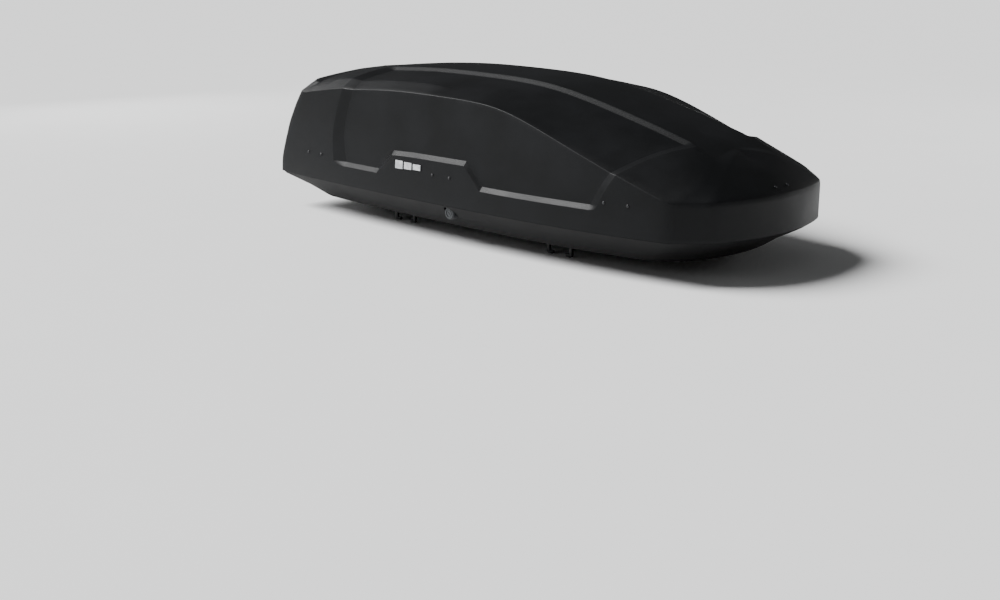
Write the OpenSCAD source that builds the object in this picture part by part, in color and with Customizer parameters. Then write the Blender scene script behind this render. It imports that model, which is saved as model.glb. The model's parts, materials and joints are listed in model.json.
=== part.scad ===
// Roof cargo box with a lid that opens on either side.
// +X is the nose, +Y the left side of the car, +Z up, millimetres.
// The origin is under the middle of the box, level with the lowest clamp jaw.

/* [Lid] */
// Length of the lid at its rim
box_l = 1900; // [1600:10:2200]
// Width of the lid at its widest
box_w = 840; // [780:10:960]
// Height of the lid above its rim
lid_h = 392; // [340:2:470]
// Wall of the lid
lid_wall = 3.2; // [2.5:0.1:5]
// Height of the upright band around the nose
band_h = 112; // [90:1:130]
// Depth of the recessed side panels
recess_d = 11; // [4:0.5:14]
// Half width of the raised spine along the roof
spine_w = 128; // [90:1:160]

/* [Base] */
// Depth of the tub below the rim
base_d = 80; // [65:1:100]
// Wall of the tub
base_wall = 3.5; // [2.5:0.1:5]
// Gap between the lid's skirt and the tub's lip
lip_gap = 6; // [5:0.5:10]
// Height of the tub's lip above the rim
lip_h = 14; // [8:1:18]
// Distance that the tub's bottom edge lies inside the rim
tuck = 85; // [60:1:110]
// The same distance at the tail
rear_tuck = 190; // [150:5:230]
// The same distance at the nose
nose_tuck = 140; // [110:5:180]

/* [Hinges and latches] */
// Distance of each hinge axis inside the rim
hinge_in = 65; // [62:1:75]
// Height of the hinge axes above the rim
hinge_z = 6; // [4:1:10]
// Radius of the hinge and latch pins
pin_r = 4; // [3:0.5:5]
// Gap around a pin in its seat
pin_gap = 0.4; // [0.3:0.05:0.8]
// Distance between the two rivets of a lid bracket
rivet_pitch = 78; // [60:1:90]
// Height of the side rivets above the rim
rivet_z = 88; // [80:1:92]
// Thickness of the lid brackets
bracket_t = 8; // [5:0.5:10]

/* [Lifter arms] */
// Place of the front pair of arms along a box 1900 long
front_arm_x = 555; // [540:1:558]
// Place of the rear pair of arms along a box 1900 long
rear_arm_x = -628; // [-630:1:-600]
// Thickness of an arm
arm_t = 8; // [6:0.5:10]
// Height of an arm
arm_h = 18; // [14:1:20]

/* [Locks] */
// Place of the locks along the box
lock_x = -27; // [-40:1:-20]
// Depth of the lock's axis below the rim
lock_z = 30; // [28:1:32]
// Radius of the lock knob
knob_r = 17; // [14:0.5:18]
// Radius at which the crank peg turns
crank_r = 16; // [12:0.5:18]

/* [Crossbar clamps] */
// Place of the front crossbar
front_bar_x = 330; // [300:5:400]
// Place of the rear crossbar
rear_bar_x = -385; // [-450:5:-350]
// Distance of the clamps from the middle
clamp_y = 262; // [220:1:270]
// Width of the crossbar that the jaws hold
bar_w = 80; // [60:1:90]
// Height of that crossbar
bar_h = 32; // [25:1:36]
// Travel of a clamp each way along its slot
clamp_travel = 70; // [40:5:90]

/* [Hidden] */

jaw_drop = bar_h + 13;
rim_z = jaw_drop + base_d;
axis_z = rim_z + hinge_z;
hinge_y = box_w / 2 - hinge_in;
floor_z = jaw_drop + base_wall;

// ---------- plan outline and height curves, x measured along the box ----------

sx = box_l / 1900;
side_drop = 68;

function mix(a, b, t) = a + (b - a) * t;
function clip(t) = min(1, max(0, t));
function smooth(t) = clip(t) * clip(t) * (3 - 2 * clip(t));
// a ramp of slope 1 that starts softly around 0 over a length w
function ramp(x, w) = (x + sqrt(x * x + w * w)) / 2;

// half width of the rim on the sides
function half_w(x) = let (u = x / sx)
    box_w / 2 - (u < -150 ? 23 * pow((-150 - u) / 653, 2) : side_drop * pow((u + 150) / 940, 3));
// how far the side wall leans in at height z
function lean(z) = 34 * pow(max(0, z) / 345, 1.5);
// the edge between side wall and shoulder
function crease_z(x) = let (u = x / sx)
    lid_h - 52 - 0.38 * ramp(u - 187, 110) - 45 * pow(max(0, -200 - u) / 552, 2);
// the soft edge between shoulder and roof
function shoulder_y(x) = box_w / 2 - 91 - 55 * smooth(x / sx / 475);
function shoulder_z(x) = let (u = x / sx)
    crease_z(x) + 22 - 14 * smooth((u + 200) / 250) + 34 * smooth((u - 200) / 440);
// the spine along the roof
function spine_z(x) = let (u = x / sx)
    lid_h - 0.26 * ramp(u - 171, 166) - 0.25 * ramp(u - 725, 60)
    - 26 * pow(max(0, -250 - u) / 481, 2);
// the nose, a flat curve across the front
function nose_x(y) = box_l / 2 - 0.00082 * y * y;
// bottom line of the side recess: low, up over the lock, and low again
panel_x = [-530, -440, -350, -276, -190, -105, -20, 65, 139, 220, 300, 380, 460, 550];
function panel_z(x) = let (u = x / sx)
    62 + 70 * (smooth((u + 345) / 80) - smooth((u - 65) / 80));

// ---------- the lid's surface as columns of points from the rim to the middle line ----------

LEVELS = 12;
// places along the box, one for each level, of the lines that bound the panels
rear_end = [-915, -914, -911, -900, -876, -842, -798, -765, -762, -760, -758, -756, -754];
panel_a0 = [-575, -570, -562, -592, -606, -590, -562, -572, -598, -618, -624, -625, -625];
panel_a1 = [-530, -530, -530, -530, -556, -542, -514, -524, -552, -572, -580, -580, -580];
panel_b1 = [540, 545, 550, 550, 570, 590, 608, 640, 665, 690, 700, 705, 705];
panel_b0 = [566, 568, 572, 580, 597, 615, 633, 665, 695, 728, 732, 735, 735];
corner_x = [797, 797, 797, 797, 797, 797, 797, 835, 818, 798, 791, 777, 768];

// a point of the side, at place x and level k
function side_pt(x, k) =
    let (z3 = panel_z(x) + 14, zc = max(crease_z(x), z3 + 3))
    k <= 6 ? let (z = k == 0 ? 0 : k == 1 ? 30 : k == 2 ? min(panel_z(x), zc - 6) :
                      k == 3 ? min(z3, zc - 4) : mix(min(z3, zc - 4), zc, (k - 3) / 3))
        [x, -(half_w(x) - lean(z)), z] :
    let (ys = shoulder_y(x), zs = shoulder_z(x) + 8, y9 = spine_w + 16, z9 = spine_z(x) - 4)
    k == 7 ? [x, -ys, zs] :
    k == 8 ? [x, -(ys + y9) / 2, (zs + z9) / 2 + 4] :
    k == 9 ? [x, -y9, z9] :
    k == 10 ? [x, -spine_w, spine_z(x) - 3] :
    k == 11 ? [x, -spine_w / 2, spine_z(x) - 0.8] : [x, -seam, spine_z(x)];

// a point of the rear face, at share t of its half width and level k
rear_x = [0, 1, 7, 14, 32, 60, 104, 134, 140, 143, 146, 149, 152];
rear_y = [345, 344, 340, 334, 324, 310, 295, 275, 210, 144, 128, 64, 2];
rear_h = [0, 60, 65, 110, 180, 250, 306, 334, 346, 351, 354, 357, 359];
function rear_pt(t, k) = let (y = rear_y[k] * t)
    [-box_l / 2 + (rear_x[k] + (k > 7 ? 12 * t : 0)) * sx + y * y * 0.0001, -y,
     rear_h[k] * (k > 2 ? lid_h / 392 : 1)];

// a point of the nose: up the band, round its edge and over to the spine
nose_up = [0, 30, 55, 75, 90, 102, band_h, band_h + 11];
function nose_pt(t, k) =
    let (y = nose_half * (1 - t), x = nose_x(y), cx = mix(778, 818, t) * sx,
         away = [x - cx, y] / norm([x - cx, y]))
    k <= 6 ? [x - (k == 6 ? 3 : 0) * away[0], -y + (k == 6 ? 3 : 0) * away[1], nose_up[k]] :
    let (p = [x - 16 * away[0], -y + 16 * away[1], nose_up[7]], c = [cx, 0, spine_z(cx)],
         s = [0, 0.32, 0.5, 0.56, 0.78, 1][k - 7], q = mix(p, c, s))
    [q[0], t < 1 ? min(q[1], -seam) : 0, q[2] + (34 + 80 * (1 - t) * (1 - t) * s) * s * (1 - s)];
nose_half = 262;

// a column is [part, share along that part]
COLS = concat(
    [for (i = [0:3]) [0, i / 4]],
    [for (i = [0:3]) [1, i / 4]],
    [for (i = [0:3]) [2, i / 4]],
    [[3, 0]],
    [for (x = panel_x) [4, (x - panel_x[0]) / (panel_x[len(panel_x) - 1] - panel_x[0])]],
    [for (i = [0:3]) [6, i / 4]],
    [for (i = [0:3]) [7, i / 4]],
    [for (i = [0:6]) [8, i / 6]]);
N = len(COLS);

function bend(a, b, t) = let (c = [a[0], b[1], (a[2] + b[2]) / 2])
    mix(mix(a, c, t), mix(c, b, t), t);
function lid_pt(col, k) = let (s = col[0], t = col[1])
    s == 0 ? rear_pt(t, k) :
    s == 1 ? bend(rear_pt(1, k), side_pt(rear_end[k] * sx, k), t) :
    s == 2 ? side_pt(mix(rear_end[k], panel_a0[k], t) * sx, k) :
    s == 3 ? side_pt(panel_a0[k] * sx, k) :
    s == 4 ? side_pt(mix(panel_a1[k], panel_b1[k], t) * sx, k) :
    s == 6 ? side_pt(mix(panel_b0[k], corner_x[k], t) * sx, k) :
    s == 7 ? mix(side_pt(corner_x[k] * sx, k), nose_pt(0, k), t) : nose_pt(t, k);

// share of a step inwards and downwards that a surface takes at each level
step_in = [1, 1, 1, 1, 1, 1, 0.8, 0.4, 0.1, 0, 0, 0, 0];
step_down = [0, 0, 0, 0, 0, 0, 0.6, 0.9, 1, 1, 1, 1, 1];
// inward direction in plan at column i
RIM = [for (c = COLS) lid_pt(c, 0)];
function inward(i) = i == 0 ? [1, 0] : i == N - 1 ? [-1, 0] :
    let (d = RIM[i + 1] - RIM[i - 1]) [-d[1], d[0]] / norm([d[0], d[1]]);
function in_panel(i, k) = COLS[i][0] == 4 && k >= 3 && k <= 9 ? 1 : 0;
function sink(p, i, k, d) = let (n = inward(i))
    [p[0] + n[0] * step_in[k] * d, p[1] + n[1] * step_in[k] * d, p[2] - step_down[k] * d];
// half width of the strip that joins the two halves along the middle line
seam = 2;
function skin_pt(i, k, d) = let (p = lid_pt(COLS[i], k), q = sink(p, i, k, d + recess_d * in_panel(i, k)))
    i == 0 || i == N - 1 ? [q[0], 0, q[2]] : [q[0], min(q[1], -seam), q[2]];

// a closed loop from its near half: columns 0 to N-1, then back along the mirrored side
LOOP = 2 * N - 2;
function loop(half) = concat(half, [for (i = [N - 2:-1:1]) [half[i][0], -half[i][1], half[i][2]]]);
function band(a, b, flip) = [for (i = [0:LOOP - 1]) let (j = (i + 1) % LOOP)
    each (flip ? [[a + i, b + j, b + i], [a + i, a + j, b + j]]
               : [[a + i, b + i, b + j], [a + i, b + j, a + j]])];
// closes a loop across the middle line, joining column i to its mirror image
function mirror_of(i) = i == 0 || i == N - 1 ? i : LOOP - i;
function zip(a, flip) = [for (i = [0:N - 2])
    let (p = a + i, q = a + i + 1, r = a + mirror_of(i + 1), s = a + mirror_of(i))
    each [if (i < N - 2) flip ? [p, q, r] : [p, r, q], if (i > 0) flip ? [p, r, s] : [p, s, r]]];

module lid_solid() {
    m = LEVELS + 1;
    points = concat(
        [for (k = [0:LEVELS]) each loop([for (i = [0:N - 1]) skin_pt(i, k, 0)])],
        [for (k = [0:LEVELS]) each loop([for (i = [0:N - 1]) skin_pt(i, k, lid_wall)])]);
    faces = concat(
        [for (k = [0:LEVELS - 1]) each band(k * LOOP, (k + 1) * LOOP, false)],
        zip(LEVELS * LOOP, false),
        [for (k = [0:LEVELS - 1]) each band((m + k) * LOOP, (m + k + 1) * LOOP, true)],
        zip((m + LEVELS) * LOOP, true),
        band(m * LOOP, 0, false));
    polyhedron(points, faces);
}

module lid_shell() color("#1d1e20") translate([0, 0, rim_z]) lid_solid();

// ---------- shared small pieces ----------

module mirrored(left) {
    if (left) mirror([0, 1, 0]) children();
    else children();
}
// a plate in the cross-section plane, thick along the box, centred on x
module slab(x, t) translate([x - t / 2, 0, 0]) rotate([90, 0, 90]) linear_extrude(t) children();
// a rod along the box from x1 to x2
module rod_x(x1, x2, y, z, r) translate([x1, y, z]) rotate([0, 90, 0]) cylinder(h = x2 - x1, r = r, $fn = 48);

latch_x = [-705, -36, 640] * sx;
rivet_r = 2.4;
function wall_y(x, z) = half_w(x) - lean(z);
// turns a piece that is drawn flat in the x-z plane to follow the side wall at x
module on_wall(x) {
    yaw = atan2(half_w(x + 5) - half_w(x - 5), 10);
    tilt = atan2(lean(rivet_z + 5) - lean(rivet_z - 5), 10);
    translate([x, -wall_y(x, rivet_z), rim_z + rivet_z])
        rotate([0, 0, -yaw]) rotate([-tilt, 0, 0]) children();
}
module side_holes() for (left = [false, true], x = latch_x, s = [-1, 1]) mirrored(left)
    on_wall(x) translate([s * rivet_pitch / 2, -6, 0])
        rotate([-90, 0, 0]) cylinder(h = 16, r = rivet_r + 0.05, $fn = 24);

// ---------- base ----------

function rim_in(d) = [for (i = [0:N - 1]) let (q = RIM[i], n = inward(i)) [q[0] + n[0] * d, q[1] + n[1] * d]];
function mirrored_outline(h) = concat(h, [for (i = [N - 2:-1:1]) [h[i][0], -h[i][1]]]);
function outline(d) = mirrored_outline(rim_in(d));
lip_in = lid_wall + lip_gap;
// the tub's bottom edge: the rim drawn in, more at the tail and nose than on the sides
function bottom_half(d) = [for (i = [0:N - 1]) let (q = RIM[i], n = inward(i))
    [mix(-box_l / 2 + rear_tuck, box_l / 2 - nose_tuck, q[0] / box_l + 0.5) + n[0] * d,
     q[1] * (1 - 2 * tuck / box_w) + n[1] * d]];
function tub_ring(d, k) =
    k == 0 ? [for (q = rim_in(lip_in + d)) [q[0], q[1], lip_h]] :
    k == 1 ? [for (q = rim_in(lip_in + d)) [q[0], q[1], -4]] :
    k == 2 ? [for (q = rim_in(lip_in + 6 + d)) [q[0], q[1], -10]] :
    let (a = rim_in(lip_in + 6 + d), b = bottom_half(d), t = [0.55, 0.93, 1][k - 3])
    [for (i = [0:N - 1]) let (q = mix(a[i], b[i], t))
        [q[0], q[1], mix(-10, -base_d, [0.5, 0.94, 1][k - 3]) + (k == 5 ? (d > 0 ? base_wall : 0) : 0)]];
TUB = 5;
module tub_solid() {
    rings = concat([for (k = [0:TUB]) tub_ring(0, k)], [for (k = [TUB:-1:0]) tub_ring(base_wall, k)]);
    points = [for (h = rings) each loop([for (i = [0:N - 1])
        i == 0 || i == N - 1 ? [h[i][0], 0, h[i][2]] : h[i]])];
    n = len(rings);
    faces = concat(
        [for (k = [0:TUB - 1]) each band((k + 1) * LOOP, k * LOOP, false)],
        [[for (i = [0:LOOP - 1]) TUB * LOOP + i]],
        [[for (i = [0:LOOP - 1]) (TUB + 1) * LOOP + LOOP - 1 - i]],
        [for (k = [TUB + 1:n - 2]) each band((k + 1) * LOOP, k * LOOP, false)],
        band(0, (n - 1) * LOOP, false));
    polyhedron(points, faces);
}

bars = [["front", front_bar_x], ["rear", rear_bar_x]];
slot_w = 12;
module floor_slots() for (b = bars, s = [-1, 1]) translate([b[1], s * clamp_y, floor_z])
    cube([2 * (bar_w / 2 + 20 + clamp_travel), slot_w, 8 * base_wall], center = true);
pocket_r = knob_r + 4;
pocket_y = hinge_y + 8;
module lock_pockets() for (s = [-1, 1]) translate([lock_x, s * (half_w(0) + pocket_y) / 2, rim_z - lock_z])
    rotate([90, 0, 0]) cylinder(h = half_w(0) - pocket_y, r = pocket_r, center = true, $fn = 64);
module base_tub() color("#161718") difference() {
    translate([0, 0, rim_z]) tub_solid();
    floor_slots();
    lock_pockets();
    rail_holes(rivet_r + 0.05);
}

// rubber lip that sits on the edge of the tub
module rim_seal() color("#0e0e0f") translate([0, 0, rim_z + lip_h]) linear_extrude(5) difference() {
    polygon(outline(lip_in - 1));
    polygon(outline(lip_in + base_wall + 1));
}

// steel rails along the floor, slotted for the clamps
rail_l = 1180;
rail_w = 64;
rail_t = 2.5;
module floor_rail() color("#8d9093") difference() {
    union() {
        translate([-rail_l / 2 - 20, -clamp_y - rail_w / 2, floor_z]) cube([rail_l, rail_w, rail_t]);
        for (y = [-rail_w / 2, rail_w / 2 - rail_t]) translate([-rail_l / 2 - 20, -clamp_y + y, floor_z])
            cube([rail_l, rail_t, 9]);
    }
    floor_slots();
    rail_holes(rivet_r + 0.05);
}
rail_hole_x = [-590, -210, 130, 545];
module rail_holes(r) for (x = rail_hole_x, y = [-20, 20], s = [-1, 1])
    translate([x, s * (clamp_y - y), jaw_drop - 2]) cylinder(h = 20, r = r, $fn = 24);
module floor_rail_right() floor_rail();
module floor_rail_left() mirrored(true) floor_rail();
// rivets that hold the rails to the floor
module floor_rivets() color("#9a9da0") for (left = [false, true]) mirrored(left)
    for (x = rail_hole_x, y = [-20, 20]) translate([x, -clamp_y + y, 0]) {
        translate([0, 0, floor_z + rail_t]) cylinder(h = 2, r = 5, $fn = 32);
        translate([0, 0, jaw_drop - 2]) cylinder(h = 2, r = 5, $fn = 32);
        translate([0, 0, jaw_drop - 1]) cylinder(h = base_wall + rail_t + 2, r = rivet_r, $fn = 24);
    }

// rubber pads under the floor that rest on the crossbars
pad_t = 3;
module crossbar_pads() color("#101011") for (b = bars, s = [-1, 1], side = [-1, 1])
    translate([b[1], s * clamp_y + side * 30, jaw_drop - pad_t / 2])
        cube([2 * clamp_travel, 22, pad_t], center = true);

// ---------- latch seats on the tub ----------

// x of the free end of each latch pin, and the seat that carries it near its ear
pin_l = 38;
seat_l = 12;
seat_gap = 2;
rod_y = hinge_y - 14;
rod_t = 4;
rod_h = 14;
rod_gap = 0.5;
// the rod runs below the lifter arms
rod_top = axis_z - arm_h / 2 - 2;
// inner face of the tub's lip along a plate of thickness t at x
function lip_y(x, t) = min(half_w(x - t / 2), half_w(x + t / 2)) - lip_in - base_wall - 0.4;
module seat(x) let (at = x - bracket_t / 2 - seat_gap - seat_l / 2, wall = lip_y(at, seat_l),
                    guide = -rod_y + rod_t / 2, low = rod_top - rod_h - 3)
    slab(at, seat_l) difference() {
        polygon([[-wall + 11, axis_z - 18], [-wall, axis_z - hinge_z - 4], [-wall, axis_z + 3],
                 [-hinge_y - pin_r - 7, axis_z + 6], [guide + 5, axis_z + 6], [guide + 5, low],
                 [guide + rod_gap, low], [guide + rod_gap, rod_top + rod_gap],
                 [-rod_y - rod_t / 2 - 3, rod_top + rod_gap], [-hinge_y, axis_z - 18]]);
        translate([-hinge_y, axis_z]) circle(r = pin_r + pin_gap, $fn = 48);
        translate([-hinge_y - pin_r - pin_gap, axis_z]) square([2 * (pin_r + pin_gap), 20]);
    }
module latch_seats_right() color("#26282a") for (x = latch_x) seat(x);
module latch_seats_left() mirrored(true) latch_seats_right();

// ---------- locks ----------

crank_a = 45;
// place of the crank peg at rest, which is its lowest
peg_x = lock_x - crank_r * sin(crank_a);
peg_low = rim_z - lock_z + crank_r * cos(crank_a);
hook_l = 13;
hook_t = 4;
peg_r = 3;
tab_w = 30;
// flat bar along the tub with a hook for each latch pin and a slotted tab for the crank
module lock_rod() color("#6d7073") {
    difference() {
        union() {
            translate([latch_x[0] - 70, -rod_y - rod_t / 2, rod_top - rod_h])
                cube([latch_x[2] - latch_x[0] + 60, rod_t, rod_h]);
            translate([peg_x - tab_w / 2, -rod_y - rod_t / 2, peg_low - peg_r - 5.6])
                cube([tab_w, rod_t, rod_top - peg_low + peg_r + 5.6]);
            for (x = latch_x) translate([x - bracket_t / 2 - pin_l - 2 - hook_l, 0, 0]) {
                translate([0, -rod_y - rod_t / 2, rod_top - rod_h])
                    cube([hook_l, rod_t, axis_z + pin_r + 1.5 + hook_t - rod_top + rod_h]);
                translate([0, -hinge_y - pin_r - 2, axis_z + pin_r + 1.5])
                    cube([hook_l, hinge_y - rod_y + pin_r + 2 + rod_t / 2, hook_t]);
            }
        }
        translate([peg_x - peg_r - 0.6, -rod_y - rod_t, peg_low - peg_r - 0.6])
            cube([2 * peg_r + 1.2, 2 * rod_t, crank_r * (1 - cos(crank_a)) + 2 * peg_r + 1.2]);
    }
}
module lock_rod_right() lock_rod();
module lock_rod_left() mirrored(true) lock_rod();

shaft_r = 5;
knob_out = hinge_y + 35;
module along_y(y1, y2, r, fn = 64)
    translate([0, -y2, 0]) rotate([-90, 0, 0]) cylinder(h = y2 - y1, r = r, $fn = fn);
module at_lock() translate([lock_x, 0, rim_z - lock_z]) children();
// cup that lines the pocket in the tub's wall and carries the knob
module lock_housing() color("#232527") at_lock() difference() {
    along_y(pocket_y, knob_out - 2, pocket_r - 0.2);
    along_y(pocket_y + 5, knob_out, knob_r + 0.4);
    along_y(pocket_y - 5, knob_out, shaft_r + 0.06);
}
module lock_housing_right() lock_housing();
module lock_housing_left() mirrored(true) lock_housing();
// knob, shaft, crank disc and peg; key_a turns the crank about the axis
module lock_knob(a) color("#6a6c6e") at_lock() rotate([0, a, 0]) {
    difference() {
        union() {
            along_y(pocket_y + 5.5, knob_out, knob_r, 96);
            along_y(rod_y + rod_t, pocket_y + 6, shaft_r);
            along_y(rod_y + rod_t / 2 + 1, rod_y + rod_t / 2 + 5, crank_r + peg_r + 1);
            translate([0, 0, crank_r]) along_y(rod_y - rod_t / 2, rod_y + rod_t / 2 + 2, peg_r, 48);
        }
        along_y(knob_out - 3, knob_out + 1, knob_r - 3.5);
    }
    difference() {
        along_y(knob_out - 4, knob_out - 1, knob_r - 8, 48);
        translate([-1.5, -knob_out - 1, -5]) cube([3, 8, 10]);
    }
}
module lock_knob_right() lock_knob(-crank_a);
module lock_knob_left() mirrored(true) lock_knob(-crank_a);

// ---------- lifter arms: A pivots on the tub at the right, B on the tub at the left ----------

arm_gap = 12;
arm_hole_r = pin_r + 0.06;
ear_gap = 0.6;
function arm_b_x(x) = x - (arm_gap + arm_t) / 2;
function arm_a_x(x) = x + (arm_gap + arm_t) / 2;
module arm(x) color("#2a2c2e") slab(x, arm_t) difference() {
    union() {
        for (s = [-1, 1]) translate([s * hinge_y, axis_z]) circle(r = arm_h / 2, $fn = 64);
        translate([-hinge_y, axis_z - arm_h / 2]) square([2 * hinge_y, arm_h]);
    }
    for (s = [-1, 1]) translate([s * hinge_y, axis_z]) circle(r = arm_hole_r, $fn = 48);
}
arm_xs = [front_arm_x, rear_arm_x] * sx;
module front_arm_a() arm(arm_a_x(arm_xs[0]));
module rear_arm_a() arm(arm_a_x(arm_xs[1]));
module front_arm_b() arm(arm_b_x(arm_xs[0]));
module rear_arm_b() arm(arm_b_x(arm_xs[1]));

ear_t = 8;
// a post on the tub at the right side whose pin carries the arm at x; dir is the side it stands on
module arm_post(x, dir) color("#26282a") {
    ex = x + dir * (arm_t / 2 + ear_gap + ear_t / 2);
    wall = lip_y(ex, ear_t);
    slab(ex, ear_t) polygon([
        [-wall + 11, axis_z - 18], [-wall, axis_z - hinge_z - 4], [-wall, axis_z + 3],
        [-hinge_y - 6, axis_z + 7], [-hinge_y + 7, axis_z + 7], [-hinge_y + 8, axis_z - 10],
        [-hinge_y, axis_z - 18]]);
    rod_x(min(ex, x - dir * arm_t / 2), max(ex, x - dir * arm_t / 2), -hinge_y, axis_z, pin_r);
}
module arm_posts_right() for (x = arm_xs) arm_post(arm_a_x(x), 1);
module arm_posts_left() mirrored(true) for (x = arm_xs) arm_post(arm_b_x(x), -1);

// ---------- lid brackets ----------

foot_z = rivet_z - 15;
// hangs from the wall pad at x and carries a pin between x1 and x2; its neck bends inwards, so that it
// clears the tub's lip while the lid turns about the pin
module hanger(x, ex, t, x1, x2, sunk) {
    wall = wall_y(ex, rivet_z) - lid_wall - sunk - 3.5;
    foot = rim_z + foot_z;
    slab(ex, t) translate([-hinge_y, 0]) polygon([
        [-pin_r - 3, axis_z], [-pin_r, axis_z + 7], [1, axis_z + 9.5], [9, axis_z + 10.5],
        [10, axis_z + 18], [-2, axis_z + 30], [-8, axis_z + 36], [-8, foot], [hinge_y - wall, foot + 3],
        [hinge_y - wall, foot + 26], [7, foot + 20], [7, axis_z + 38], [20, axis_z + 26],
        [19, axis_z + 6], [9, axis_z - 5], [0, axis_z - 7], [-pin_r - 1, axis_z - 5]]);
    rod_x(x1, x2, -hinge_y, axis_z, pin_r);
}
pad_in = 0.8;
module wall_pad(x, w, h, sunk)
    on_wall(x) translate([-w / 2, lid_wall + sunk + pad_in, -h / 2]) cube([w, 4, h]);
module lid_bracket(x) color("#2b2d2f") difference() {
    union() {
        wall_pad(x, rivet_pitch + 12, 22, 0);
        hanger(x, x, bracket_t, x - bracket_t / 2 - pin_l, x, 0);
    }
    side_holes();
}
module lid_brackets_right() for (x = latch_x) lid_bracket(x);
module lid_brackets_left() mirrored(true) lid_brackets_right();
module lid_arm_ear(x, dir) color("#2b2d2f") {
    ex = x + dir * (arm_t / 2 + ear_gap + ear_t / 2);
    // the front ears stand on the floor of the recess
    sunk = x > 0 ? recess_d : 0;
    wall_pad(ex, 24, 22, sunk);
    hanger(ex, ex, ear_t, min(ex, x - dir * arm_t / 2), max(ex, x - dir * arm_t / 2), sunk);
}
module lid_arm_ears_right() for (x = arm_xs) lid_arm_ear(arm_b_x(x), -1);
module lid_arm_ears_left() mirrored(true) for (x = arm_xs) lid_arm_ear(arm_a_x(x), 1);

// ---------- lid hoops, rivets, nose plate and badges ----------

hoop_t = 12;
// the inside of the lid at x as half a cross-section, d inside the inner face
function hoop_half(x, d) = [for (k = [4:LEVELS]) let (p = side_pt(x, k), q = lid_wall + recess_d + d)
    [min(p[1] + q * step_in[k], -0.5), p[2] - q * step_down[k]]];
module hoop(x) color("#1a1b1d") translate([0, 0, rim_z]) slab(x, 30) let (
        a = hoop_half(x, 7), b = hoop_half(x, 7 + hoop_t), n = len(a))
    polygon(concat(a, [for (i = [n - 1:-1:0]) [-a[i][0], a[i][1]]],
                   [for (i = [0:n - 1]) [-b[i][0], b[i][1]]], [for (i = [n - 1:-1:0]) b[i]]));
module lid_hoop_front() hoop(240 * sx);
module lid_hoop_rear() hoop(-330 * sx);

module lid_side_rivets() color("#2a2b2d") for (left = [false, true], x = latch_x, s = [-1, 1]) mirrored(left)
    on_wall(x) translate([s * rivet_pitch / 2, 0, 0]) {
        rotate([-90, 0, 0]) translate([0, 0, -2.6]) cylinder(h = 2.2, r1 = 3, r2 = 5, $fn = 32);
        rotate([-90, 0, 0]) translate([0, 0, -0.4]) cylinder(h = 10, r = rivet_r, $fn = 24);
    }

nose_rivet_y = 29;
nose_rivet_x = nose_x(0) - 24;
nose_rivet_z = rim_z + band_h + 18;
nose_tilt = 40;
module at_nose(y) translate([nose_rivet_x, y, nose_rivet_z]) rotate([0, nose_tilt, 0]) children();
module nose_holes() for (s = [-1, 1])
    at_nose(s * nose_rivet_y) translate([0, 0, -14]) cylinder(h = 30, r = rivet_r + 0.05, $fn = 24);
module lid_nose_rivets() color("#2a2b2d") for (s = [-1, 1]) at_nose(s * nose_rivet_y) {
    translate([0, 0, 0.4]) cylinder(h = 2.2, r1 = 5, r2 = 3, $fn = 32);
    translate([0, 0, -10.5]) cylinder(h = 11, r = rivet_r, $fn = 24);
}
module nose_plate() color("#26282a") difference() {
    at_nose(0) translate([-13, -48, -10.5]) cube([26, 96, 4]);
    nose_holes();
}

badge_x = -190;
badge_z = 103;
module badge() color("#b9bcbf") let (yaw = atan2(half_w(badge_x + 5) - half_w(badge_x - 5), 10))
    translate([badge_x, -wall_y(badge_x, badge_z), rim_z + badge_z]) rotate([0, 0, -yaw])
        rotate([-atan2(lean(badge_z + 5) - lean(badge_z - 5), 10), 0, 0])
            for (i = [0:2]) translate([-62 + 43 * i, -2.2, -13 + 2 * i]) cube([36, 2, 26 - 4 * i]);
module badge_right() badge();
module badge_left() mirrored(true) badge();

// ---------- crossbar clamps ----------

pad_gap = 0.3;
body_z = floor_z + rail_t + pad_gap;
body_w = 46;
body_h = 16;
jaw_w = 10;
jaw_x = bar_w / 2 + 6;
jaw_z = body_z + 8;
jaw_pin_r = 3;
turn_r = 25;
turn_stem_r = 6;
// runs along the slot inside the tub; its cheeks carry the two jaw pins
module clamp_carriage() color("#2d3032") {
    difference() {
        translate([-jaw_x - 9, -body_w / 2, body_z]) cube([2 * jaw_x + 18, body_w, body_h]);
        for (d = [-1, 1]) translate([d * (jaw_x + 6), 0, body_z + body_h / 2])
            cube([30, jaw_w + 2.6, 2 * body_h], center = true);
        translate([0, 0, body_z + 4]) cylinder(h = body_h, r = turn_stem_r + 0.06, $fn = 48);
    }
    for (d = [-1, 1]) translate([d * jaw_x, -jaw_w / 2 - 2, jaw_z]) rotate([-90, 0, 0])
        cylinder(h = jaw_w + 4, r = jaw_pin_r, $fn = 48);
}
// turn knob with a grip bar across it
module clamp_knob() color("#3a3d40") {
    translate([0, 0, body_z + 4.3]) cylinder(h = body_h, r = turn_stem_r, $fn = 48);
    translate([0, 0, body_z + body_h + 1]) cylinder(h = 14, r = turn_r, $fn = 96);
    translate([-turn_r + 3, -5, body_z + body_h + 14]) cube([2 * turn_r - 6, 10, 15]);
}
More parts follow.
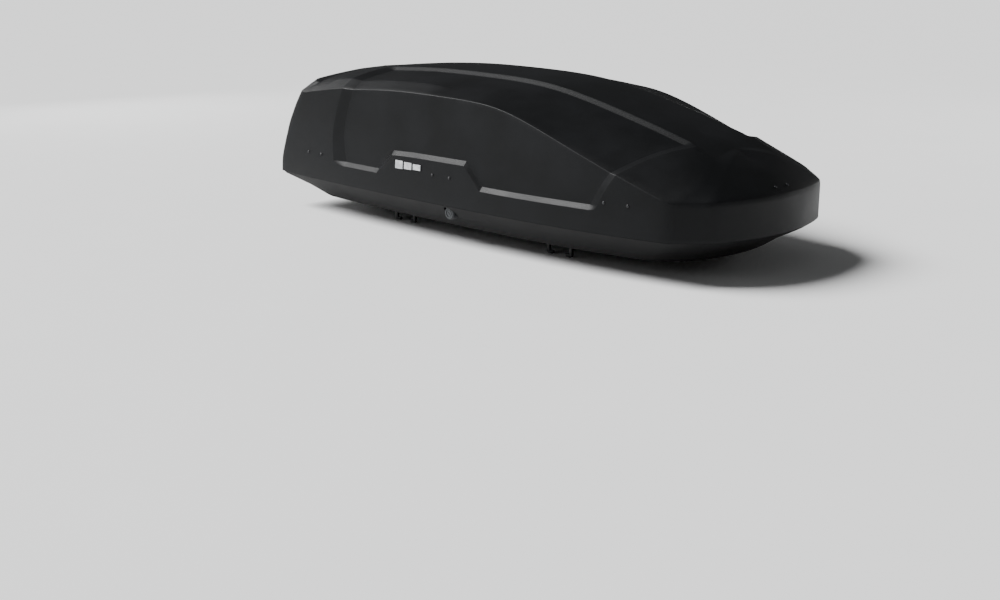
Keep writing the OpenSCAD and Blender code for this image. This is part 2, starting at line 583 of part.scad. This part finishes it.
// hooked jaw that swings out about its pin; drawn for the nose side of the bar
jaw_in = jaw_drop - pad_t - bar_h - 0.5;
module jaw() color("#1f2123") translate([0, jaw_w / 2, 0]) rotate([90, 0, 0]) difference() {
    union() {
        translate([jaw_x, jaw_z, 0]) cylinder(h = jaw_w, r = 6, $fn = 64);
        linear_extrude(jaw_w) polygon([[jaw_x + 5, jaw_z + 2], [jaw_x + 5, 5], [jaw_x, 0], [jaw_x - 18, 0],
                                       [jaw_x - 21, 4], [jaw_x - 20, jaw_in], [jaw_x - 5, jaw_in],
                                       [jaw_x - 5, jaw_z + 2]]);
    }
    translate([jaw_x, jaw_z, -1]) cylinder(h = jaw_w + 2, r = jaw_pin_r + 0.06, $fn = 48);
}
module at_clamp(x, s) translate([x, s * clamp_y, 0]) children();
module jaw_fore(x, s) at_clamp(x, s) jaw();
module jaw_aft(x, s) at_clamp(x, s) mirror([1, 0, 0]) jaw();

// ---------- load straps ----------

strap_w = 25;
strap_t = 2;
strap_xs = [60, -110];
buckle_y = -95;
strap_end = clamp_y - rail_w / 2 - 4;
// height of the webbing's underside above the floor
function strap_z(y) = floor_z + 0.6 + 5 * (1 - smooth((abs(y - buckle_y) - 30) / 50))
    + 3 * (1 - cos((y - 40) * 3)) * smooth((y - 40) / 60) * smooth((strap_end - y) / 40);
module load_strap(x) color("#17181a") slab(x, strap_w)
    let (ys = [for (i = [0:44]) mix(-strap_end, strap_end, i / 44)])
        polygon(concat([for (y = ys) [y, strap_z(y)]],
                       [for (i = [44:-1:0]) [ys[i], strap_z(ys[i]) + strap_t]]));
module strap_buckle(x) color("#303234") difference() {
    slab(x, strap_w + 12) translate([buckle_y - 20, floor_z + 0.4]) square([40, 14]);
    slab(x, strap_w + 0.8) translate([buckle_y - 21, floor_z + 5.1]) square([42, strap_t + 1]);
}
module load_strap_front() load_strap(strap_xs[0]);
module load_strap_rear() load_strap(strap_xs[1]);
module strap_buckle_front() strap_buckle(strap_xs[0]);
module strap_buckle_rear() strap_buckle(strap_xs[1]);

base_tub();
rim_seal();
floor_rail_right();
floor_rail_left();
crossbar_pads();
floor_rivets();
latch_seats_right();
latch_seats_left();
arm_posts_right();
arm_posts_left();
lock_housing_right();
lock_housing_left();
lock_knob_right();
lock_knob_left();
lock_rod_right();
lock_rod_left();
load_strap_front();
load_strap_rear();
strap_buckle_front();
strap_buckle_rear();
front_arm_a();
rear_arm_a();
front_arm_b();
rear_arm_b();
lid_shell();
lid_brackets_right();
lid_brackets_left();
lid_arm_ears_right();
lid_arm_ears_left();
lid_hoop_front();
lid_hoop_rear();
lid_side_rivets();
lid_nose_rivets();
nose_plate();
badge_right();
badge_left();
at_clamp(front_bar_x, -1) clamp_carriage();  // clamp_carriage_front_right
at_clamp(front_bar_x, -1) clamp_knob();  // clamp_knob_front_right
jaw_fore(front_bar_x, -1);  // clamp_jaw_fore_front_right
jaw_aft(front_bar_x, -1);  // clamp_jaw_aft_front_right
at_clamp(front_bar_x, 1) clamp_carriage();  // clamp_carriage_front_left
at_clamp(front_bar_x, 1) clamp_knob();  // clamp_knob_front_left
jaw_fore(front_bar_x, 1);  // clamp_jaw_fore_front_left
jaw_aft(front_bar_x, 1);  // clamp_jaw_aft_front_left
at_clamp(rear_bar_x, -1) clamp_carriage();  // clamp_carriage_rear_right
at_clamp(rear_bar_x, -1) clamp_knob();  // clamp_knob_rear_right
jaw_fore(rear_bar_x, -1);  // clamp_jaw_fore_rear_right
jaw_aft(rear_bar_x, -1);  // clamp_jaw_aft_rear_right
at_clamp(rear_bar_x, 1) clamp_carriage();  // clamp_carriage_rear_left
at_clamp(rear_bar_x, 1) clamp_knob();  // clamp_knob_rear_left
jaw_fore(rear_bar_x, 1);  // clamp_jaw_fore_rear_left
jaw_aft(rear_bar_x, 1);  // clamp_jaw_aft_rear_left
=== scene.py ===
import json
from math import atan2, cos, pi, radians

import bmesh
import bpy
from mathutils import Matrix, Vector
from mathutils.bvhtree import BVHTree


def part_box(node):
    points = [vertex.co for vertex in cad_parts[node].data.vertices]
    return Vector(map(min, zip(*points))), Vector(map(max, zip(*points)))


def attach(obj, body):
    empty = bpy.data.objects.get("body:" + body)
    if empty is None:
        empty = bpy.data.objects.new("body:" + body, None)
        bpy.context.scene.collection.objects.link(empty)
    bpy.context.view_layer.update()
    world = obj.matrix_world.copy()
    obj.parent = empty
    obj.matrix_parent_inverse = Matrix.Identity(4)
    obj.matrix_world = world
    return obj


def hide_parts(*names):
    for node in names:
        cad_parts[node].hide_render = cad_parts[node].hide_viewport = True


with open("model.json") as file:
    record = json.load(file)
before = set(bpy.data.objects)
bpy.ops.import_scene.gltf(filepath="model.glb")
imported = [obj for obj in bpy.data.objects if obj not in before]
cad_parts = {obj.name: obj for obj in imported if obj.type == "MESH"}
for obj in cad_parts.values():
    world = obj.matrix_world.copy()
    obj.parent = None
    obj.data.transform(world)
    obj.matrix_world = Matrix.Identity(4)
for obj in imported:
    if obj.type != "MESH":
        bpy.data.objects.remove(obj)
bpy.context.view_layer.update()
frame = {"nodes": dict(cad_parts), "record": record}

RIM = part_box("lid_shell")[0][2]  # height of the lid's lower edge

# ---------- camera, light and floor ----------

RIGHT = Vector((0.70153428, 0.71263571, 0.0))
DOWN = Vector((0.18750686, -0.18458588, -0.96476382))
AHEAD = Vector((-0.68752515, 0.67681489, -0.26311741))
CAMERA_PLACE = (2.883, -3.030, 0.884)
KEY_FROM = Vector((-0.64, -0.44, 0.80))  # the key light comes from here


def set_camera():
    data = bpy.data.cameras.new("studio_camera")
    data.sensor_width = 36.0
    data.lens = 45.9
    data.clip_end = 200.0
    cam = bpy.data.objects.new("studio_camera", data)
    bpy.context.scene.collection.objects.link(cam)
    turn = Matrix((RIGHT, -DOWN, -AHEAD)).transposed().to_4x4()
    cam.matrix_world = Matrix.Translation(CAMERA_PLACE) @ turn
    bpy.context.scene.camera = cam


def softbox(name, place, target, size, power):
    """A rectangular area light that faces a point. size is its width and height in metres."""
    data = bpy.data.lights.new(name, "AREA")
    data.shape = "RECTANGLE"
    data.size, data.size_y = size
    data.energy = power
    lamp = bpy.data.objects.new(name, data)
    bpy.context.scene.collection.objects.link(lamp)
    facing = (Vector(target) - Vector(place)).to_track_quat("-Z", "Y").to_matrix().to_4x4()
    lamp.matrix_world = Matrix.Translation(place) @ facing


def set_light():
    world = bpy.data.worlds.new("studio_air")
    world.use_nodes = True
    bpy.context.scene.world = world
    sky = world.node_tree.nodes["Background"]
    sky.inputs["Color"].default_value = (0.95, 0.96, 0.97, 1.0)
    sky.inputs["Strength"].default_value = 0.07
    key = bpy.data.lights.new("key_light", "SUN")
    key.energy, key.angle = 6.6, radians(32)
    lamp = bpy.data.objects.new("key_light", key)
    bpy.context.scene.collection.objects.link(lamp)
    lamp.matrix_world = KEY_FROM.to_track_quat("Z", "Y").to_matrix().to_4x4()
    softbox("side_softbox", (-1.6, -4.0, 1.5), (0.0, -0.3, 0.3), (2.6, 1.2), 14)
    softbox("far_softbox", (1.8, 4.6, 1.3), (0.2, 0.3, 0.3), (2.4, 1.0), 18)
    softbox("tail_softbox", (-4.4, 0.6, 1.2), (-0.8, 0.0, 0.3), (1.6, 1.0), 14)


# ---------- finishes ----------

def rgba(code):
    """A colour written as sRGB hex, in linear light."""
    values = [int(code[i:i + 2], 16) / 255 for i in (1, 3, 5)]
    return tuple(v / 12.92 if v <= 0.04045 else ((v + 0.055) / 1.055) ** 2.4 for v in values) + (1.0,)


def add(tree, kind, inputs=None, **settings):
    """Adds one node.

    inputs are its socket values or the sockets that feed them; settings are its own properties."""
    made = tree.nodes.new(kind)
    for key, value in settings.items():
        setattr(made, key, value)
    for key, value in (inputs or {}).items():
        if isinstance(value, bpy.types.NodeSocket):
            tree.links.new(value, made.inputs[key])
        else:
            made.inputs[key].default_value = value
    return made


def blank(name):
    """An empty material with its node tree and a place for patterns on Object coordinates."""
    made = bpy.data.materials.new(name)
    made.use_nodes = True
    made.node_tree.nodes.clear()
    where = add(made.node_tree, "ShaderNodeTexCoord").outputs["Object"]
    return made, made.node_tree, where


def spread(tree, value, low, high, steps):
    """Maps a pattern's values from low..high to the two ends in steps."""
    return add(tree, "ShaderNodeMapRange", {"Value": value, "From Min": low, "From Max": high,
                                            "To Min": steps[0], "To Max": steps[1]}).outputs["Result"]


def blend_tones(tree, share, tones):
    mixer = add(tree, "ShaderNodeMix", {"Factor": share}, data_type="RGBA")
    mixer.inputs[6].default_value, mixer.inputs[7].default_value = rgba(tones[0]), rgba(tones[1])
    return mixer.outputs[2]


def bumped(tree, height, strength, distance):
    """Turns a pattern into small heights on the surface."""
    return add(tree, "ShaderNodeBump",
               {"Height": height, "Strength": strength, "Distance": distance}).outputs["Normal"]


def close(tree, colour, roughness, normal, metallic=0.0, specular=0.5, **more):
    """The shader at the end of a material."""
    shader = add(tree, "ShaderNodeBsdfPrincipled",
                 {"Base Color": colour, "Roughness": roughness, "Normal": normal,
                  "Metallic": metallic, "Specular IOR Level": specular, **more})
    add(tree, "ShaderNodeOutputMaterial", {"Surface": shader.outputs["BSDF"]})


def grained_plastic(name, tones, gloss, grain, relief, specular=0.5):
    """A moulded plastic: two close tones in broad patches, and a pebbled grain.

    grain is the size of its pebbles and relief their height."""
    made, tree, where = blank(name)
    patches = add(tree, "ShaderNodeTexNoise", {"Vector": where, "Scale": 7.0, "Detail": 3.0}).outputs["Fac"]
    pebbles = add(tree, "ShaderNodeTexVoronoi", {"Vector": where, "Scale": 1 / grain}).outputs["Distance"]
    fine = add(tree, "ShaderNodeTexNoise",
               {"Vector": where, "Scale": 2.2 / grain, "Detail": 2.0}).outputs["Fac"]
    mixed = add(tree, "ShaderNodeMath", {0: pebbles, 1: fine}, operation="ADD").outputs[0]
    bump = bumped(tree, mixed, 0.5, relief)
    share = add(tree, "ShaderNodeMath", {0: spread(tree, patches, 0.35, 0.65, (0.0, 0.7)),
                                         1: spread(tree, fine, 0.3, 0.7, (0.0, 0.3))},
                operation="ADD").outputs[0]
    close(tree, blend_tones(tree, share, tones), spread(tree, patches, 0.3, 0.7, gloss), bump,
          specular=specular)
    return made


def plated_steel(name, tones, gloss):
    """Zinc-plated or bright metal with fine drawn lines along the piece and a few cloudy patches."""
    made, tree, where = blank(name)
    drawn = add(tree, "ShaderNodeMapping", {"Vector": where, "Scale": (6.0, 700.0, 700.0)}).outputs["Vector"]
    lines = add(tree, "ShaderNodeTexNoise", {"Vector": drawn, "Scale": 1.0, "Detail": 3.0}).outputs["Fac"]
    clouds = add(tree, "ShaderNodeTexNoise", {"Vector": where, "Scale": 45.0, "Detail": 4.0}).outputs["Fac"]
    mixed = add(tree, "ShaderNodeMath", {0: lines, 1: clouds}, operation="MULTIPLY").outputs[0]
    bump = bumped(tree, lines, 0.25, 0.0001)
    close(tree, blend_tones(tree, spread(tree, mixed, 0.12, 0.42, (0.0, 1.0)), tones),
          spread(tree, clouds, 0.3, 0.7, gloss), bump, metallic=1.0)
    return made


def coated_steel(name, tones, worn, gloss):
    """Powder-coated or painted metal with an orange-peel skin, rubbed lighter where edges stand out."""
    made, tree, where = blank(name)
    peel = add(tree, "ShaderNodeTexNoise", {"Vector": where, "Scale": 900.0, "Detail": 2.0}).outputs["Fac"]
    scuffs = add(tree, "ShaderNodeTexNoise", {"Vector": where, "Scale": 60.0, "Detail": 6.0}).outputs["Fac"]
    edge = add(tree, "ShaderNodeNewGeometry").outputs["Pointiness"]
    rubbed = add(tree, "ShaderNodeMath", {0: spread(tree, edge, 0.53, 0.62, (0.0, 1.0)),
                                          1: spread(tree, scuffs, 0.45, 0.65, (0.0, 1.0))},
                 operation="MULTIPLY").outputs[0]
    paint = blend_tones(tree, spread(tree, scuffs, 0.35, 0.65, (0.0, 1.0)), tones)
    over = add(tree, "ShaderNodeMix", {"Factor": rubbed, 6: paint}, data_type="RGBA")
    over.inputs[7].default_value = rgba(worn)
    bump = bumped(tree, peel, 0.3, 0.0002)
    close(tree, over.outputs[2], spread(tree, scuffs, 0.3, 0.7, gloss), bump)
    return made


def rubber(name, tones):
    """Dull moulded rubber with a dusty bloom."""
    made, tree, where = blank(name)
    bloom = add(tree, "ShaderNodeTexNoise", {"Vector": where, "Scale": 24.0, "Detail": 5.0}).outputs["Fac"]
    pores = add(tree, "ShaderNodeTexNoise", {"Vector": where, "Scale": 1600.0, "Detail": 1.0}).outputs["Fac"]
    bump = bumped(tree, pores, 0.35, 0.0002)
    close(tree, blend_tones(tree, spread(tree, bloom, 0.35, 0.7, (0.0, 1.0)), tones),
          spread(tree, bloom, 0.3, 0.7, (0.72, 0.88)), bump, specular=0.3)
    return made


def webbing(name, tones):
    """Woven polyester strap, ribbed across its length and twilled."""
    made, tree, where = blank(name)
    ribs = add(tree, "ShaderNodeTexWave", {"Vector": where, "Scale": 95.0, "Distortion": 0.4, "Detail": 1.0,
                                           "Detail Scale": 3.0}, bands_direction="Y").outputs["Fac"]
    twill = add(tree, "ShaderNodeTexWave", {"Vector": where, "Scale": 150.0, "Distortion": 0.3,
                                            "Detail": 1.0}, bands_direction="X").outputs["Fac"]
    weave = add(tree, "ShaderNodeMath", {0: ribs, 1: twill}, operation="MULTIPLY").outputs[0]
    fuzz = add(tree, "ShaderNodeTexNoise", {"Vector": where, "Scale": 2400.0, "Detail": 1.0}).outputs["Fac"]
    threads = add(tree, "ShaderNodeMath", {0: weave, 1: fuzz}, operation="ADD").outputs[0]
    bump = bumped(tree, threads, 0.7, 0.0005)
    close(tree, blend_tones(tree, spread(tree, weave, 0.05, 0.9, (0.0, 1.0)), tones),
          spread(tree, fuzz, 0.3, 0.7, (0.7, 0.85)), bump, specular=0.25,
          **{"Sheen Weight": 0.35, "Sheen Roughness": 0.4})
    return made


def make_finishes():
    return {
        # grained ABS skin of the lid, matt black
        "lid_abs": grained_plastic("grained_abs_black", ("#0e0f10", "#131416"),
                                   (0.40, 0.50), 0.0011, 0.00022, 0.16),
        # coarser ABS of the tub, duller
        "tub_abs": grained_plastic("coarse_abs_black", ("#0f0f10", "#161617"),
                                   (0.6, 0.7), 0.0018, 0.0004, 0.18),
        "rubber": rubber("moulded_rubber", ("#0f0f10", "#1a1a1b")),
        # zinc-plated floor rails
        "rail_steel": plated_steel("zinc_plated_rail", ("#8f9396", "#c3c6c8"), (0.28, 0.42)),
        "rivet_aluminium": plated_steel("bright_aluminium", ("#b9bcbe", "#dcdddf"), (0.22, 0.34)),
        # glass-filled nylon of the seats, posts and brackets
        "latch_plastic": grained_plastic("glass_filled_nylon", ("#1e2022", "#292b2e"),
                                         (0.42, 0.55), 0.0014, 0.0003),
        "lock_grey": grained_plastic("satin_grey_nylon", ("#424548", "#505356"), (0.38, 0.5), 0.0009, 0.0001),
        "rod_steel": plated_steel("zinc_plated_rod", ("#7c8083", "#b3b6b8"), (0.3, 0.45)),
        "arm_paint": coated_steel("black_powder_coat", ("#1a1b1c", "#242527"), "#5c5f61", (0.4, 0.55)),
        "webbing": webbing("polyester_webbing", ("#0f1011", "#2a2c2f")),
        "hoop_plastic": grained_plastic("black_nylon_hoop", ("#18191a", "#202123"),
                                        (0.5, 0.62), 0.0016, 0.0003),
        "rivet_black": coated_steel("black_painted_rivet", ("#16171a", "#202225"), "#6a6c6e", (0.35, 0.5)),
        "badge_grey": coated_steel("satin_silver_paint", ("#b4b7ba", "#c6c9cb"), "#e4e5e6", (0.3, 0.42)),
        "clamp_plastic": grained_plastic("dark_nylon_carriage", ("#202224", "#2b2d30"),
                                         (0.45, 0.58), 0.0015, 0.0003),
        "knob_plastic": grained_plastic("moulded_knob_plastic", ("#2a2c2f", "#383b3e"),
                                        (0.4, 0.52), 0.0012, 0.00025),
        "jaw_steel": coated_steel("coated_jaw_steel", ("#141516", "#1f2021"), "#77797b", (0.38, 0.52)),
    }


# ---------- pieces ----------

SLOT_OF = {s["node"]: s["material_slot"] for s in frame["record"]["subparts"]}
BODY_OF = {node: body for body, nodes in frame["record"]["behaviour"]["bodies"].items() for node in nodes}


def piece(name, bm, node, finish, smooth_to=None):
    """Makes a bmesh an object that stands for a CAD node, rides with it and takes its finish."""
    mesh = bpy.data.meshes.new(name)
    bm.to_mesh(mesh)
    bm.free()
    mesh.polygons.foreach_set("use_smooth", [True] * len(mesh.polygons))
    if smooth_to is not None:
        mesh.set_sharp_from_angle(angle=radians(smooth_to))
    made = bpy.data.objects.new(name, mesh)
    bpy.context.scene.collection.objects.link(made)
    made.data.materials.append(finishes[finish])
    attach(made, BODY_OF[node])
    return made


def merged_copy(node):
    """A welded copy of a CAD node's mesh."""
    bm = bmesh.new()
    bm.from_mesh(frame["nodes"][node].data)
    bmesh.ops.remove_doubles(bm, verts=bm.verts[:], dist=0.00001)
    return bm


SHARP = 32.0  # an edge that turns by more than this many degrees is a real edge


def rounded(made, width):
    """Rounds the sharp edges of a piece."""
    bevel = made.modifiers.new("edge_radius", "BEVEL")
    bevel.width, bevel.segments, bevel.profile = width, 2, 0.5
    bevel.limit_method, bevel.angle_limit = "ANGLE", radians(SHARP)
    bevel.harden_normals = True


def softened(node, width):
    """Stands for a CAD node with its moulded or deburred edges rounded."""
    bm = merged_copy(node)
    bmesh.ops.dissolve_limit(bm, angle_limit=radians(0.6), verts=bm.verts[:], edges=bm.edges[:])
    made = piece(node + "_finished", bm, node, SLOT_OF[node], SHARP)
    rounded(made, width)
    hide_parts(node)


PANEL_TAIL, PANEL_NOSE = -0.68, 0.75  # the stretch that holds the recessed side panels
SPINE_SIDE = 0.11  # the flanks begin outside this half width
LIP_TOP = RIM + 0.012
WIDE_FOLD_FROM = RIM + 0.165  # folds on the flanks above this height are wide
NOSE_BAND = 0.60  # and all steep ones ahead of this


def lid_skin():
    """The vacuum-formed lid: its facets joined to quads and subdivided, then its folds rounded.

    The long fold along the side and the edge of the nose band are wide; the edges of the recess are tight."""
    bm = merged_copy("lid_shell")
    bmesh.ops.join_triangles(bm, faces=bm.faces[:], angle_face_threshold=radians(50),
                             angle_shape_threshold=radians(80))
    crease = bm.edges.layers.float.new("crease_edge")
    radius = bm.edges.layers.float.new("bevel_weight_edge")
    for edge in bm.edges:
        if len(edge.link_faces) != 2:
            continue
        fold = edge.calc_face_angle(0.0)
        middle = (edge.verts[0].co + edge.verts[1].co) / 2
        run = edge.verts[1].co - edge.verts[0].co
        level = abs(run.z) < 0.5 * run.length
        beside = PANEL_TAIL < middle.x < PANEL_NOSE and abs(middle.y) > SPINE_SIDE
        if fold < radians(9 if beside else 24) or not (level or beside or fold > radians(50)):
            continue
        edge[crease] = 1.0
        if middle.z < LIP_TOP:
            edge[radius] = 0.12
        elif fold > radians(30) and abs(middle.y) > 0.25 and (middle.z > WIDE_FOLD_FROM
                                                              or middle.x > NOSE_BAND):
            edge[radius] = 1.0
        else:
            edge[radius] = 0.32
    made = piece("lid_skin", bm, "lid_shell", "lid_abs")
    fine = made.modifiers.new("formed_surface", "SUBSURF")
    fine.levels = fine.render_levels = 2
    folds = made.modifiers.new("fold_radius", "BEVEL")
    folds.width, folds.segments, folds.profile = 0.011, 3, 0.5
    folds.limit_method, folds.harden_normals = "WEIGHT", True
    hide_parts("lid_shell")


def turned(bm, profile, centre, steps):
    """Spins a half outline about an upright line through centre.

    profile is a run of radius and height pairs that starts and ends on the line."""
    points = [bm.verts.new((centre[0] + out, centre[1], centre[2] + up)) for out, up in profile]
    edges = [bm.edges.new(pair) for pair in zip(points, points[1:])]
    bmesh.ops.spin(bm, geom=points + edges, cent=centre, axis=(0.0, 0.0, 1.0), angle=2 * pi, steps=steps,
                   use_merge=True)
    bmesh.ops.remove_doubles(bm, verts=bm.verts[:], dist=0.00001)


def block(bm, low, high, radius=0.0, segments=2):
    """A box between two corners, with its edges rounded when a radius is given."""
    made = bmesh.ops.create_cube(bm, size=1.0)["verts"]
    low, high = Vector(low), Vector(high)
    bmesh.ops.scale(bm, verts=made, vec=high - low)
    bmesh.ops.translate(bm, verts=made, vec=(low + high) / 2)
    if radius:
        edges = list({edge for vert in made for edge in vert.link_edges})
        bmesh.ops.bevel(bm, geom=edges, offset=radius, affect="EDGES", segments=segments, profile=0.5,
                        material=-1)


FLUTES = 16
FLUTE_DEPTH = 0.0009  # half of how far a flute is cut in
FLUTE_REACH = 0.0035  # the flutes take this much of the knob's radius
WING_HALF = 0.005  # half the width of the grip wing
WING_CROWN = 0.034  # the wing tapers above this height on the knob


def turn_knob(node):
    """Clamp knob: a disc with finger flutes around it, a dished top and a grip wing across."""
    low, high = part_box(node)
    centre = ((low[0] + high[0]) / 2, (low[1] + high[1]) / 2, low[2])
    out = (high[0] - low[0]) / 2
    bm = bmesh.new()
    turned(bm, [(0.0, 0.0), (0.006, 0.0), (0.006, 0.0127), (out - 0.003, 0.0127), (out, 0.0150),
                (out, 0.0240), (out - 0.0025, 0.0262), (out - 0.0060, 0.0267), (out - 0.0085, 0.0252),
                (0.0, 0.0252)],
           centre, 4 * FLUTES)
    for vert in bm.verts:
        arm = Vector((vert.co.x - centre[0], vert.co.y - centre[1], 0.0))
        if arm.length > out - FLUTE_REACH:
            turn = atan2(arm.y, arm.x) * FLUTES
            vert.co -= arm.normalized() * FLUTE_DEPTH * (1 - cos(turn))
    wing = bmesh.new()
    block(wing, (centre[0] - out + 0.003, centre[1] - WING_HALF, low[2] + 0.0245),
          (centre[0] + out - 0.003, centre[1] + WING_HALF, high[2]), 0.0022, 3)
    for vert in wing.verts:
        if vert.co.z > low[2] + WING_CROWN:
            vert.co.x = centre[0] + (vert.co.x - centre[0]) * 0.84
            vert.co.y = centre[1] + (vert.co.y - centre[1]) * 0.78
    spare = bpy.data.meshes.new("spare")
    wing.to_mesh(spare)
    wing.free()
    bm.from_mesh(spare)
    bpy.data.meshes.remove(spare)
    bmesh.ops.recalc_face_normals(bm, faces=bm.faces[:])
    made = piece(node + "_fluted", bm, node, SLOT_OF[node], 35)
    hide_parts(node)


STITCH = (0.0025, 0.0008, 0.0007, 1.0)  # length, width and height of one stitch
STITCH_PITCH = 0.0036
STITCH_INSET = 0.004  # the stitched box begins this far from the strap's end


def strap_stitches(node):
    """Box-and-cross stitching at both ends of a strap, each stitch laid on the webbing."""
    webbing_copy = merged_copy(node)
    surface = BVHTree.FromBMesh(webbing_copy)
    webbing_copy.free()
    low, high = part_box(node)
    middle = (low[0] + high[0]) / 2
    bm = bmesh.new()
    wide, deep = 0.009, 0.018
    corners = [Vector((-wide, 0.0)), Vector((wide, 0.0)), Vector((wide, deep)), Vector((-wide, deep))]
    runs = [(0, 1), (1, 2), (2, 3), (3, 0), (0, 2), (1, 3)]
    for inwards, end in ((1, low[1] + STITCH_INSET), (-1, high[1] - STITCH_INSET)):
        for a, b in runs:
            run = corners[b] - corners[a]
            count = round(run.length / STITCH_PITCH)
            for i in range(count):
                spot = corners[a] + run * ((i + 0.5) / count)
                x, y = middle + spot.x, end + inwards * spot.y
                hit, slope = surface.ray_cast(Vector((x, y, high[2] + 0.05)), Vector((0.0, 0.0, -1.0)))[:2]
                stitch = bmesh.ops.create_cube(bm, size=1.0)["verts"]
                lie = Vector((run.x, inwards * run.y, 0.0)).to_track_quat("X", "Z").to_matrix().to_4x4()
                lean = Vector((0.0, 0.0, 1.0)).rotation_difference(slope).to_matrix().to_4x4()
                size = Matrix.Diagonal(STITCH)
                bmesh.ops.transform(bm, verts=stitch, matrix=Matrix.Translation(hit) @ lean @ lie @ size)
    piece(node + "_stitches", bm, node, "webbing", 40)


def floor_beads():
    """Stiffening beads pressed into the floor of the tub, fore and aft of the straps."""
    half, sunk, proud = 0.009, 0.0015, 0.0035
    bm = bmesh.new()
    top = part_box("floor_rail_right")[0][2]
    for x1, x2 in ((-0.60, -0.19), (0.14, 0.54)):
        for y in (-0.16, -0.08, 0.0, 0.08, 0.16):
            block(bm, (x1, y - half, top - sunk), (x2, y + half, top + proud), 0.0030, 4)
    piece("tub_floor_beads", bm, "base_tub", "tub_abs", 40)


EDGE_RADIUS = {
    "base_tub": 0.004, "rim_seal": 0.0018, "floor_rail": 0.0006, "crossbar_pads": 0.001,
    "floor_rivets": 0.0009, "latch_seats": 0.001, "arm_posts": 0.001, "lock_housing": 0.0008,
    "lock_knob": 0.0008, "lock_rod": 0.0006, "load_strap": 0.0007, "strap_buckle": 0.0014,
    "front_arm": 0.001, "rear_arm": 0.001, "lid_brackets": 0.0012, "lid_arm_ears": 0.0012,
    "lid_hoop": 0.0025, "lid_side_rivets": 0.0010, "lid_nose_rivets": 0.0010, "nose_plate": 0.001,
    "badge": 0.0006, "clamp_carriage": 0.0014, "clamp_jaw": 0.0009,
}


def radius_for(node):
    return next(width for start, width in EDGE_RADIUS.items() if node.startswith(start))


def lay_floor():
    """The pale studio floor, just under the part."""
    bm = bmesh.new()
    bmesh.ops.create_grid(bm, x_segments=1, y_segments=1, size=40.0)
    bmesh.ops.translate(bm, verts=bm.verts[:], vec=(0.0, 0.0, -0.0005))
    mesh = bpy.data.meshes.new("studio_floor")
    bm.to_mesh(mesh)
    bm.free()
    floor = bpy.data.objects.new("studio_floor", mesh)
    bpy.context.scene.collection.objects.link(floor)
    paint, tree, where = blank("pale_floor")
    dust = add(tree, "ShaderNodeTexNoise", {"Vector": where, "Scale": 3.0}).outputs["Fac"]
    close(tree, blend_tones(tree, dust, ("#f4f5f5", "#f8f8f8")), 0.9, bumped(tree, dust, 0.02, 0.001),
          specular=0.1)
    floor.data.materials.append(paint)


set_camera()
set_light()
finishes = make_finishes()
for node, holder in frame["nodes"].items():
    holder.data.materials.clear()
    holder.data.materials.append(finishes[SLOT_OF[node]])

lid_skin()
for node in frame["nodes"]:
    if node.startswith("clamp_knob"):
        turn_knob(node)
    elif node != "lid_shell":
        softened(node, radius_for(node))
    if node.startswith("load_strap"):
        strap_stitches(node)
floor_beads()
lay_floor()

bpy.context.view_layer.update()
